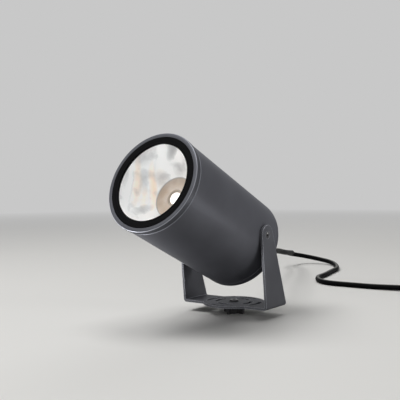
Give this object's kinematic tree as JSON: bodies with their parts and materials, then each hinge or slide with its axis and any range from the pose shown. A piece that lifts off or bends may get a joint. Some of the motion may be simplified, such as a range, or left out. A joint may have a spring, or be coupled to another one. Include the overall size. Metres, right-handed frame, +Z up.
{
  "type": "garden spike spotlight",
  "caption": "Round garden spotlight head that tilts in a U bracket, swivels on a ground spike and has a coiled rubber mains lead.",
  "frame": {"origin": "where the spike's centre line meets the ground surface", "axes": "+Z up along the spike and the swivel axis; -Y the way the lamp faces; X the tilt axis"},
  "size_m": [0.4368, 0.5942, 0.348],
  "materials": {
    "graphite_casting": "satin powder coat, dark graphite",
    "graphite_sheet": "satin powder coat, dark graphite",
    "black_seal_rubber": "matte",
    "clear_glass": "polished",
    "bright_aluminium": "polished, vapour coated",
    "white_holder_plastic": "matte",
    "board_ceramic": "matte",
    "light_window": "emissive white, glossy",
    "grey_pad": "matte",
    "plain_aluminium": "machined, satin",
    "zinc_sheet": "satin zinc",
    "driver_case": "satin",
    "terminal_plastic": "matte",
    "wire_jacket": "satin",
    "bright_steel": "satin",
    "black_steel": "blackened, satin",
    "black_gland_plastic": "satin",
    "cable_rubber": "satin",
    "fibre": "matte",
    "insert_brass": "satin",
    "spike_plastic": "satin",
    "nylon_washer": "matte",
    "plug_rubber": "matte",
    "tie_fabric": "matte"
  },
  "bodies": {
    "spike": {"ground_spike": "spike_plastic", "spike_insert": "insert_brass", "swivel_bolt": "black_steel", "swivel_washer": "black_steel", "swivel_friction_disc": "fibre"},
    "bracket": {"bracket": "graphite_sheet", "cable_lead": "cable_rubber", "cable_run": "cable_rubber", "cable_coil": "cable_rubber", "cable_tail": "cable_rubber", "coil_tie": "tie_fabric", "plug_body": "plug_rubber", "plug_pins": "bright_steel"},
    "head": {"housing": "graphite_casting", "front_bezel": "graphite_casting", "rear_cap": "graphite_casting", "bezel_o_ring": "black_seal_rubber", "cap_o_ring": "black_seal_rubber", "lens_seal": "black_seal_rubber", "gland_washer": "black_seal_rubber", "lens_glass": "clear_glass", "reflector": "bright_aluminium", "led_holder": "white_holder_plastic", "led_board": "board_ceramic", "led_emitter": "light_window", "thermal_pad": "grey_pad", "heat_spreader": "plain_aluminium", "driver_tray": "zinc_sheet", "driver": "driver_case", "terminal_block": "terminal_plastic", "led_wires": "wire_jacket", "mains_cores": "wire_jacket", "holder_screws": "bright_steel", "spreader_screws": "bright_steel", "tray_screws": "bright_steel", "cap_screws": "black_steel", "pivot_screws": "black_steel", "friction_washers": "nylon_washer", "gland_body": "black_gland_plastic", "gland_nut": "black_gland_plastic", "gland_locknut": "black_gland_plastic", "strain_relief": "cable_rubber", "cable_inside": "cable_rubber"}
  },
  "joints": [
    {"name": "bracket_swivel", "type": "hinge", "parent": "spike", "child": "bracket", "pos_m": [0, 0, 0.01], "axis": [0, 0, 1], "range_deg": [-180, 180]},
    {"name": "head_tilt", "type": "hinge", "parent": "bracket", "child": "head", "pos_m": [0, -0.017, 0.087], "axis": [-1, 0, 0], "range_deg": [-40, 50], "deforming": ["cable_lead"]}
  ]
}
